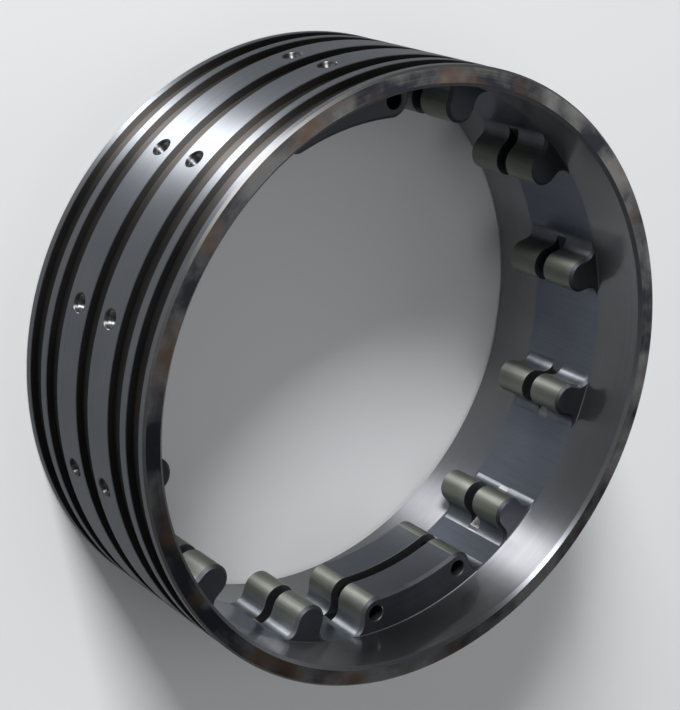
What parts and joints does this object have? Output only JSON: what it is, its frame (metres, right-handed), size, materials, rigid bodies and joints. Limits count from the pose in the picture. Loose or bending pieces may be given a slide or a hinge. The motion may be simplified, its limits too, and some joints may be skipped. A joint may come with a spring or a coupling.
{
  "type": "slotted machined ring",
  "caption": "Short machined metal ring with square grooves round the outside, slotted lugs and arc blocks round the bore, and small radial screw holes.",
  "frame": {"origin": "centre of the lower end face", "axes": "+Z along the ring's axis, up when it lies on its end face; the two arc blocks are on the X axis"},
  "size_m": [0.1, 0.1, 0.036],
  "materials": {
    "machined_steel": "fine turned and milled bare steel"
  },
  "bodies": {
    "root": {"slotted_machined_ring": "machined_steel"}
  },
  "joints": []
}
